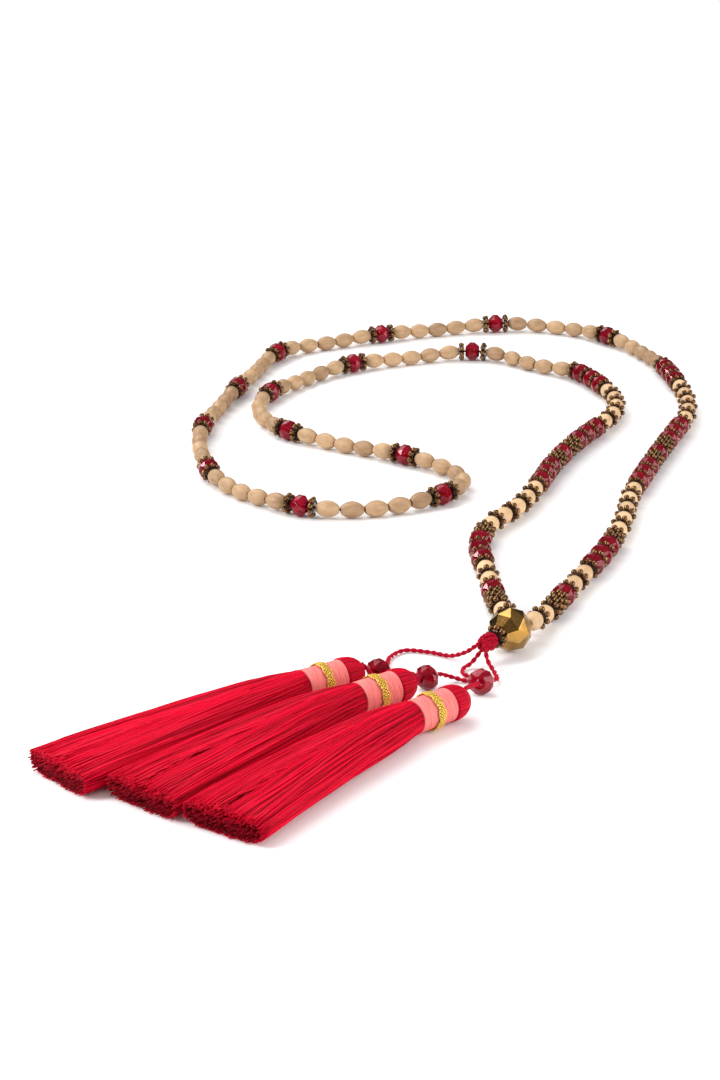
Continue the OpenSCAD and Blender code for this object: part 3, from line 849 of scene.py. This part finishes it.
class NECKLACE_OT_wooden_beads(bpy.types.Operator):
    """Turns one oval wooden bead and strings its copies"""

    bl_idname = "necklace.wooden_beads"
    bl_label = "Wooden Beads"

    def execute(self, context):
        s = context.scene.necklace_beads
        half = s.oval_length / 2
        swell = (s.oval_width - s.oval_end) / 2
        side_radius = (half * half + swell * swell) / (2 * swell)
        outside = [(s.oval_width / 2 - side_radius + math.sqrt(side_radius ** 2 - z * z), z)
                   for z in (half * math.sin(math.pi / 2 * k / 5) for k in range(-5, 6))]
        lip = s.bore / 2 + 0.3 * MM
        inside = [(lip, half), (s.bore / 2, half - 0.35 * MM), (s.bore / 2, 0.35 * MM - half), (lip, -half)]
        bead = turned(outside + inside, 24)
        bpy.ops.object.shade_smooth_by_angle(angle=math.radians(40))
        shape = taken(bead)
        material = wood(s)
        for run in range(1, 16):
            strung(f"wood_run_{run:02d}", f"oval_run_{run:02d}", lambda length: shape, material,
                   seed=run, tones=(0.55, 0.95))
        for k, side in enumerate(SIDES):
            strung("wood_front_" + side, "front_ovals_" + side, lambda length: shape, material,
                   seed=40 + k, tones=(0, 0.4))
        return {"FINISHED"}


# Bore of the crystals on the drop cords
CORD_BORE = 2.0 * MM
# Bore of the gold bead and the spacer below it, through which both ends of the thread run
LEGS_BORE = 2.3 * MM


def crystal_facets(s):
    """Facets of a crystal: crown and star facets at both ends, and the triangles of its belt."""
    step = 2 * math.pi / s.crystal_facets
    flat = math.cos(step / 2)
    half, girdle = s.crystal_length / 2, s.crystal_girdle / 2
    table, width = s.crystal_table / 2, s.crystal_width / 2
    facets = []
    for k in range(s.crystal_facets):
        for end, corner in ((-1, k * step), (1, (k + 0.5) * step)):
            facets += [
                (corner + step / 2, (table * flat, end * half), (width * flat, end * girdle)),
                (corner, (0.87 * table, end * half), (width, end * girdle)),
                (corner, (width, end * girdle), (width * flat, -end * girdle))]
    return facets


class NECKLACE_OT_crystals(bpy.types.Operator):
    """Cuts one red crystal and strings its copies"""

    bl_idname = "necklace.crystals"
    bl_label = "Red Crystals"

    def execute(self, context):
        s = context.scene.necklace_beads
        facets = crystal_facets(s)
        material = crystal(s)
        shape, wide = (taken(cut_stone(s.crystal_length, s.crystal_width, facets, bore, 0.05 * MM))
                       for bore in (s.bore, CORD_BORE))
        made = [(f"cut_crystal_{k:02d}", f"crystal_{k:02d}", shape, k) for k in range(1, 15)]
        made += [("cut_front_" + side, "front_crystals_" + side, shape, 60 + k)
                 for k, side in enumerate(SIDES)]
        made += [("cut_drop_" + place, "drop_crystal_" + place, wide, 70 + k)
                 for k, place in enumerate(PLACES)]
        for name, node, stone, seed in made:
            strung(name, node, lambda length: stone, material,
                   s.crystal_facets, s.crystal_length / 2 / MM - 0.1, seed)
        return {"FINISHED"}


def spacer_row(s, bore):
    """One row of knobs round its disc, with a knob at angle 0."""
    recess = 0.35 * MM
    knob = s.knob_width / 2
    at = s.spacer_width / 2 - knob
    half_turn = math.pi / s.knobs
    flat = at - s.knob_width / 3
    rim = s.spacer_length / 2 - recess
    wide, narrow = flat / math.cos(half_turn), flat - 0.1 * MM
    disc = turned([(wide, 0.2 * MM - rim), (wide, rim - 0.2 * MM), (narrow, rim), (bore / 2, rim),
                   (bore / 2, -rim), (narrow, -rim)], s.knobs)
    bpy.ops.object.shade_flat()
    disc = taken(disc).moved(spin(half_turn))
    deselect()
    bpy.ops.mesh.primitive_uv_sphere_add(segments=8, ring_count=6, radius=knob * 1.02, location=(at, 0, 0))
    bpy.ops.object.shade_smooth()
    ball = taken(bpy.context.object)
    return joined([disc] + [ball.moved(spin(2 * half_turn * k)) for k in range(s.knobs)])


class NECKLACE_OT_spacers(bpy.types.Operator):
    """Casts one row of bronze knobs, stacks it, and strings the spacers"""

    bl_idname = "necklace.spacers"
    bl_label = "Bronze Spacers"

    def execute(self, context):
        s = context.scene.necklace_beads
        row, pendant = spacer_row(s, s.bore), spacer_row(s, LEGS_BORE)
        half_turn = math.pi / s.knobs
        stacks = {}

        def stack(length):
            rows = max(1, round(length / s.spacer_length))
            if rows not in stacks:
                parts = [row.moved(spin(half_turn * k), (0, 0, (k + 0.5 - rows / 2) * s.spacer_length))
                         for k in range(rows)]
                if rows > 1:
                    reach = (rows - 1) * s.spacer_length / 2
                    sleeve = 0.6 * (s.spacer_width - s.knob_width) / 2
                    parts.append(taken(turned([
                        (sleeve, -reach), (sleeve, reach), (s.bore / 2, reach), (s.bore / 2, -reach)], 16)))
                stacks[rows] = joined(parts)
            return stacks[rows]

        material = bronze(s)
        made = [("bronze_far", "crystal_spacers", stack),
                ("bronze_pendant", "pendant_spacer", lambda length: pendant)]
        made += [("bronze_front_" + side, "front_spacers_" + side, stack) for side in SIDES]
        for seed, (name, node, shape_for) in enumerate(made):
            strung(name, node, shape_for, material, s.knobs, s.spacer_length / MM - 0.1, 80 + seed)
        return {"FINISHED"}


class NECKLACE_OT_gold_bead(bpy.types.Operator):
    """Cuts the large gold centre bead"""

    bl_idname = "necklace.gold_bead"
    bl_label = "Gold Bead"

    def execute(self, context):
        s = context.scene.necklace_beads
        sides = 8
        step = 2 * math.pi / sides
        flat = math.cos(step / 2)
        table, shoulder, middle = 3.2 * MM, 6.1 * MM, 7.25 * MM
        half, rise = 6.3 * MM, 3.5 * MM
        facets = []
        for k in range(sides):
            for end in (-1, 1):
                facets += [
                    (k * step, (table * flat, end * half), (shoulder * flat, end * rise)),
                    (k * step, (shoulder * flat, end * rise), (middle, 0)),
                    ((k + 0.5) * step, (shoulder, end * rise), (middle * flat, 0))]
        shape = taken(cut_stone(2 * half, 2 * middle, facets, LEGS_BORE, 0.1 * MM))
        strung("gold_centre", "gold_bead", lambda length: shape, gold(s), sides, seed=5)
        return {"FINISHED"}


class NECKLACE_OT_string(bpy.types.Operator):
    """Gives the thread between the beads its finish"""

    bl_idname = "necklace.string"
    bl_label = "Bead Thread"

    def execute(self, context):
        s = context.scene.necklace_threads
        thread = NODES["string_thread"]
        thread.data.materials.clear()
        thread.data.materials.append(bead_thread(s))
        return {"FINISHED"}


# End of the head, bend and cut end of each tassel's centre line over the table, in millimetres
TASSELS = {
    "back": [(-21, -151.3), (-57.5, -177), (-106, -219.5)],
    "middle": [(-5.6, -159.6), (-41.5, -188.5), (-81.6, -235)],
    "front": [(9.7, -171.9), (-26, -204.4), (-58.6, -251)],
}
HEAD_LENGTH, HEAD_WIDTH, NECK_WIDTH = 8.4, 11.0, 8.4
BAND_LENGTH, BAND_BORE, BAND_WIDTH = 13.5, 8.7, 10.3
BRAID_LENGTH, BRAID_WIDTH = 3.4, 11.7
CLEARANCE = 0.15
NECK_LENGTH = HEAD_LENGTH + BAND_LENGTH + 2 * CLEARANCE
HEAD_HEIGHT = BRAID_WIDTH / 2
FRINGE_WIDTH, FRINGE_HEIGHT = 28.5, 9.0
# Length of a share of 1 beyond the cut end, where the longest threads end
FRINGE_LENGTH = 60
# Share of the way to the cut end, share of the fringe's width and of its height
FRINGE = np.array([
    (0, 0.3, 0.95), (0.007, 0.37, 1.17), (0.02, 0.38, 1.19), (0.05, 0.4, 1.18), (0.14, 0.49, 1.25),
    (0.3, 0.62, 1.27), (0.5, 0.73, 1.2), (0.75, 0.86, 1.09), (0.93, 0.955, 1.02), (1, 0.99, 0.95)])


def ramp(x):
    x = np.clip(x, 0, 1)
    return x * x * (3 - 2 * x)


def rounded(x, full):
    return np.sign(x) * np.abs(x) ** full


class Tassel:
    """Centre line and cross-sections of one tassel, in millimetres over the table"""

    def __init__(self, place):
        self.points = [np.array(p, float) + SHIFT[:2] for p in TASSELS[place]]
        self.heading = unit(self.points[1] - self.points[0])
        self.end_turn = unit(self.points[2] - self.points[1])

    def straight(self, distance):
        return self.points[0] + np.asarray(distance)[..., None] * self.heading

    def fringe(self, t):
        """Centre, sideways direction, width and height of the fringe at shares of the way to its cut end."""
        t = np.asarray(t, float)[..., None]
        inside = np.clip(t, 0, 1)
        turn = unit((1 - inside) * self.heading + inside * self.end_turn)
        at = ((1 - inside) ** 2 * self.straight(NECK_LENGTH) + 2 * inside * (1 - inside) * self.points[1]
              + inside ** 2 * self.points[2] + (t - inside) * FRINGE_LENGTH * turn)
        t = inside[..., 0]
        width = FRINGE_WIDTH * np.interp(t, FRINGE[:, 0], FRINGE[:, 1])
        height = FRINGE_HEIGHT * np.interp(t, FRINGE[:, 0], FRINGE[:, 2])
        middle = HEAD_HEIGHT + (height / 2 - 0.2 - HEAD_HEIGHT) * ramp(t / 0.3)
        side = np.stack([-turn[..., 1], turn[..., 0]], -1)
        return at, side, width, height, middle

    def on_fringe(self, t, angle, share=1.0, depth=0.0):
        """Points on the fringe's surface, or a share of the way out to it and a depth below it."""
        at, side, width, height, middle = self.fringe(t)
        full = 1 - 0.25 * ramp(np.asarray(t) / 0.2) - 0.15 * ramp((np.asarray(t) - 0.4) / 0.5)
        out = (width / 2 * share - depth) * rounded(np.cos(angle), full)
        rise = middle + (height / 2 * share - depth) * rounded(np.sin(angle), full)
        return np.concatenate([at + out[..., None] * side, rise[..., None]], -1)


def round_neck(place):
    """Turn and place that lay a ring turned round Z on a tassel's neck, in the middle of its band."""
    tassel = Tassel(place)
    x, y = tassel.heading
    at = tassel.straight(HEAD_LENGTH + CLEARANCE + BAND_LENGTH / 2)
    return np.array([[-y, 0, x], [x, 0, y], [0, 1, 0]], float), np.array([at[0], at[1], HEAD_HEIGHT]) * MM


class NECKLACE_OT_tassels(bpy.types.Operator):
    """Lays the threads of the three silk tassels"""

    bl_idname = "necklace.tassels"
    bl_label = "Silk Tassels"

    def execute(self, context):
        s = context.scene.necklace_tassels
        material = silk(s)
        for seed, place in enumerate(PLACES):
            rng = np.random.default_rng(100 + seed)
            tassel = Tassel(place)
            parts = [self.head(tassel, rng), self.inside(tassel),
                     self.outside(tassel, s, rng), self.cut(tassel, s, rng)]
            piece("silk_" + place, joined(parts), material, ["tassel_" + place])
        return {"FINISHED"}

    def head(self, tassel, rng):
        """Domed head and neck, pleated by the threads that run over it, with painted shade in the pleats and
        on the neck under the band.
        """
        threads, hollow = 54, [1.0, 0.12, 0.0, 0.12]
        steps = len(hollow)
        wander = np.repeat(rng.uniform(-0.35, 0.35, threads), steps) * 2 * np.pi / threads
        bright = np.repeat(rng.uniform(0.5, 0.85, threads), steps)
        hollow = np.tile(hollow, threads)
        rows = []
        for share in (0.004, 0.02, 0.06, 0.13, 0.24, 0.38, 0.55, 0.75, 0.92, 1.0):
            blunt = 2 + 0.4 * max(0, min(1, (share - 0.15) / 0.4))
            rows.append((share * HEAD_LENGTH, HEAD_WIDTH / 2 * (1 - (1 - share) ** blunt) ** (1 / blunt)))
        rows += [(distance, NECK_WIDTH / 2)
                 for distance in (HEAD_LENGTH + 0.05, NECK_LENGTH - 0.3, NECK_LENGTH + 0.4)]
        side = np.array([-tassel.heading[1], tassel.heading[0]])
        rings, tones = [], []
        for distance, radius in rows:
            a = circle(threads * steps) + wander * min(1, distance / HEAD_LENGTH)
            r = radius - min(0.3, 0.08 * radius) * hollow
            flat = tassel.straight(distance) + (r * np.cos(a))[:, None] * side
            rings.append(np.column_stack([flat, HEAD_HEIGHT + r * np.sin(a)]) * MM)
            # Painted shade: darker in the hollows of the pleats, and darker on the neck under the band
            tones.append(bright * (1 - 0.95 * hollow) * (0.75 if distance > HEAD_LENGTH else 1.0))
        return skin(rings, tones)

    def inside(self, tassel):
        """Body under the fringe's threads, painted dark as the shade that shows between them."""
        sides, depth, lowest, tone = 44, 1.3, 0.7, 0.18
        shares = (0.0, 0.02, 0.05, 0.1, 0.2, 0.32, 0.45, 0.6, 0.75, 0.88, 0.965)
        rings = np.stack([tassel.on_fringe(np.full(sides, t), circle(sides), 1.0, depth) for t in shares])
        rings[..., 2] = np.maximum(rings[..., 2], lowest)
        return skin(rings * MM, np.full(rings.shape[:2], tone))

    def outside(self, tassel, s, rng):
        """Threads over the whole fringe, each with its own place, drift, length and tone, and with painted
        shade and painted highlights in their tone. Those that start deep come up where the fringe widens."""
        count, width = s.strands, s.strand_width / MM
        # Evenly spread along the fringe's edge where it is nearly at its widest
        around = np.linspace(0, 2 * np.pi, 721)
        run = lengths(tassel.on_fringe(0.8 + 0 * around, around))
        place = (np.arange(count) + rng.uniform(-0.5, 0.5, count)) / count * run[-1]
        place = np.interp(place, run, around)[:, None]
        lean = rng.normal(0, 0.07, (count, 1))
        wave = rng.uniform(0, 2 * np.pi, (count, 3))
        reach = 1 + rng.normal(0, 0.008, count)
        layer = np.arange(count) % 3
        deep = np.where(layer == 0, 0, 0.12 + 0.16 * layer) + rng.uniform(0, 0.3, count)
        t = np.concatenate([[0, 0.007, 0.02], np.linspace(0.05, 1, 17)])[None, :] * reach[:, None]
        together = 0.035 * np.sin(6 * t + 5 * place) + 0.02 * np.sin(13 * t - 9 * place)
        angle = (place + lean * t + together * ramp(t / 0.3) + 0.022 * np.sin(5 * t + wave[:, :1])
                 + 0.011 * np.sin(19 * t + wave[:, 1:2]))
        lock = (0.5 + 0.5 * np.cos(11 * place + 2 * np.sin(3 * t + wave[0, 0]))) ** 2
        furrow = (0.5 + 0.5 * np.sin(29 * place + 4 * np.sin(4 * t + wave[0, 1]))) ** 3
        buried = np.maximum(0, deep[:, None] - 0.3 * t)
        drawn_in = 0.45 * np.cos(angle) ** 8 * ramp(t / 0.3)
        depth = (0.5 * width + (0.45 * lock + 0.22 * furrow) * ramp(t / 0.25) + buried
                 + 0.06 * np.sin(9 * t + wave[:, 2:]) + drawn_in)
        paths = tassel.on_fringe(t, angle, 1.0, depth)
        paths[..., 2] = np.maximum(paths[..., 2], 0.5 * width + 0.02)
        at, *_, middle = tassel.fringe(t)
        outward = paths - np.concatenate([at, middle[..., None]], -1)
        radius = 0.5 * width * (0.75 + 0.25 * rng.uniform(0, 1, (count, 1))) * np.ones(t.shape)
        radius[:, 0] *= 0.5
        radius[:, -1] *= 0.6
        # Painted shade: threads are darker in the furrows between the locks and the deeper they lie; the
        # random part is each thread's own tone
        tone = 0.74 - 0.18 * lock - 0.18 * furrow - 0.75 * buried + 0.14 * rng.normal(0, 1, (count, 1))
        # Painted highlight: about one thread in eight is made brighter
        tone = np.clip(tone + 0.45 * (rng.uniform(0, 1, (count, 1)) > 0.87), 0.03, 1)
        return strands(paths * MM, outward, radius * MM, 4, tone)

    def cut(self, tassel, s, rng):
        """Ends of the inner threads, which make the frayed cut."""
        count, start = s.cut_ends, 0.93
        angle = rng.uniform(0, 2 * np.pi, (count, 1))
        share = np.sqrt(rng.uniform(0, 1, (count, 1)))
        ends = 1.0 + rng.normal(0, 0.007, count)
        t = np.stack([np.full(count, start), 0.5 * (start + ends), ends], 1)
        angle = angle + rng.normal(0, 0.03, (count, 3)) * np.array([0, 0.5, 1])
        paths = tassel.on_fringe(t, angle, share, np.array([0.95, 0.8, 0.55]) * share)
        paths[..., 2] = np.maximum(paths[..., 2], 0.4)
        radius = 0.5 * s.strand_width / MM * (0.55 + 0.35 * rng.uniform(0, 1, (count, 1)))
        # Painted light and shade: the threads of the cut are lighter towards the top of the fringe and darker
        # towards its bottom
        high = 0.5 + 0.5 * share * np.sin(angle[:, :1])
        tone = np.clip(1.2 * high ** 2.2 + 0.1 * rng.normal(0, 1, (count, 1)), 0.02, 1)
        # The second factor is painted shade: darker where the threads start deep inside the fringe
        taper, brighter = np.array([1, 1, 0.95]), np.array([0.6, 0.85, 1.0])
        return strands(paths * MM, (0, 0, 1), radius * taper * MM, 3, tone * brighter)


class NECKLACE_OT_bands(bpy.types.Operator):
    """Winds one coral band and copies it round each tassel's neck"""

    bl_idname = "necklace.bands"
    bl_label = "Coral Bands"

    def execute(self, context):
        s = context.scene.necklace_tassels
        rng = np.random.default_rng(7)
        half, bore, radius = BAND_LENGTH / 2 * MM, BAND_BORE / 2 * MM, BAND_WIDTH / 2 * MM
        pitch, groove, shoulder = 2 * half / s.turns, 0.14 * MM, 0.02 * MM
        rows = []
        for k in range(s.turns):
            crest = radius - abs(rng.normal(0, 0.05)) * MM
            for step, sink in ((0.0, groove), (0.3, shoulder), (0.7, shoulder)):
                rows.append((crest - sink, -half + (k + step) * pitch))
        rows += [(radius - groove, half), (bore, half), (bore, -half)]
        band = turned(rows, 56)
        bpy.ops.object.shade_smooth_by_angle(angle=math.radians(60))
        shape = taken(band)
        material = coral(s)
        for place in PLACES:
            laid = shape.moved(*round_neck(place))
            laid.uv = self.unrolled(shape)
            piece("coral_band_" + place, laid, material, ["tassel_band_" + place])
        return {"FINISHED"}

    def unrolled(self, shape):
        """UV in turns round the band and millimetres along it, without a jump inside any face."""
        uv = []
        for face in shape.faces:
            corners = shape.corners[list(face)]
            angle = np.arctan2(corners[:, 1], corners[:, 0])
            angle = angle[0] + (angle - angle[0] + np.pi) % (2 * np.pi) - np.pi
            uv.append(np.column_stack([angle / (2 * np.pi), corners[:, 2] / MM]))
        return np.concatenate(uv)


class NECKLACE_OT_braids(bpy.types.Operator):
    """Plaits one gold braid and copies it round each band"""

    bl_idname = "necklace.braids"
    bl_label = "Gold Braids"

    def execute(self, context):
        s = context.scene.necklace_tassels
        # Six wires that swing to and fro seven times on their way round, over and under each other
        count, waves, points, wire = 6, 7, 241, 0.21 * MM
        inner = (BAND_WIDTH / 2 + CLEARANCE) * MM
        middle = inner + 0.05 * MM + wire
        u = np.linspace(0, 2 * np.pi, points)
        paths, outward = [], []
        for k in range(count):
            phase = 2 * np.pi * k / count
            swing = 0.82 + 0.18 * np.sin(5 * u + 2.1 * k)
            across = (BRAID_LENGTH / 2 * MM - 1.3 * wire) * np.sin(waves * u + phase) * swing
            radius = middle + 0.08 * MM * np.cos(2 * (waves * u + phase))
            paths.append(np.column_stack([radius * np.cos(u), radius * np.sin(u), across]))
            outward.append(np.column_stack([np.cos(u), np.sin(u), 0 * u]))
        wires = strands(paths, outward, wire, 6, 1.0)
        # Tape under the wires, dark with painted shade for the gaps between them
        half, top = 0.34 * BRAID_LENGTH * MM, inner + 0.06 * MM
        rows = [(inner, -half), (top, -half), (top, half), (inner, half)]
        under = taken(turned(rows, 48))
        under.uv = np.zeros((sum(len(face) for face in under.faces), 2))
        under.tone = np.zeros(len(under.corners))
        shape = joined([wires, under])
        material = lurex(s)
        for place in PLACES:
            laid = shape.moved(*round_neck(place))
            piece("gold_braid_" + place, laid, material, ["tassel_braid_" + place])
        return {"FINISHED"}


class NECKLACE_PT_panel(bpy.types.Panel):
    """Lists the necklace's pieces and their settings"""

    bl_label = "Tassel Necklace"
    bl_idname = "NECKLACE_PT_panel"
    bl_space_type = "VIEW_3D"
    bl_region_type = "UI"
    bl_category = "Necklace"

    def draw(self, context):
        scene = context.scene
        for title, settings, operators in SECTIONS:
            box = self.layout.box()
            box.label(text=title)
            group = getattr(scene, settings)
            for name in group.__annotations__:
                box.prop(group, name)
            for operator in operators:
                box.operator(operator.bl_idname)


SECTIONS = [
    ("Stage", "necklace_stage", [NECKLACE_OT_stage]),
    ("Threads", "necklace_threads", [NECKLACE_OT_drop_cords, NECKLACE_OT_knot, NECKLACE_OT_string]),
    ("Beads", "necklace_beads",
     [NECKLACE_OT_wooden_beads, NECKLACE_OT_crystals, NECKLACE_OT_spacers, NECKLACE_OT_gold_bead]),
    ("Tassels", "necklace_tassels", [NECKLACE_OT_tassels, NECKLACE_OT_bands, NECKLACE_OT_braids]),
]
GROUPS = {"necklace_stage": StageSettings, "necklace_threads": ThreadSettings,
          "necklace_beads": BeadSettings, "necklace_tassels": TasselSettings}


def register():
    for name, group in GROUPS.items():
        bpy.utils.register_class(group)
        setattr(bpy.types.Scene, name, PointerProperty(type=group))
    for title, settings, operators in SECTIONS:
        for operator in operators:
            bpy.utils.register_class(operator)
    bpy.utils.register_class(NECKLACE_PT_panel)


def unregister():
    bpy.utils.unregister_class(NECKLACE_PT_panel)
    for title, settings, operators in reversed(SECTIONS):
        for operator in reversed(operators):
            bpy.utils.unregister_class(operator)
    for name, group in GROUPS.items():
        delattr(bpy.types.Scene, name)
        bpy.utils.unregister_class(group)


def main():
    register()
    bpy.ops.necklace.stage()
    bpy.ops.necklace.drop_cords()
    bpy.ops.necklace.knot()
    bpy.ops.necklace.string()
    bpy.ops.necklace.wooden_beads()
    bpy.ops.necklace.crystals()
    bpy.ops.necklace.spacers()
    bpy.ops.necklace.gold_bead()
    bpy.ops.necklace.tassels()
    bpy.ops.necklace.bands()
    bpy.ops.necklace.braids()


if __name__ == "__main__":
    main()
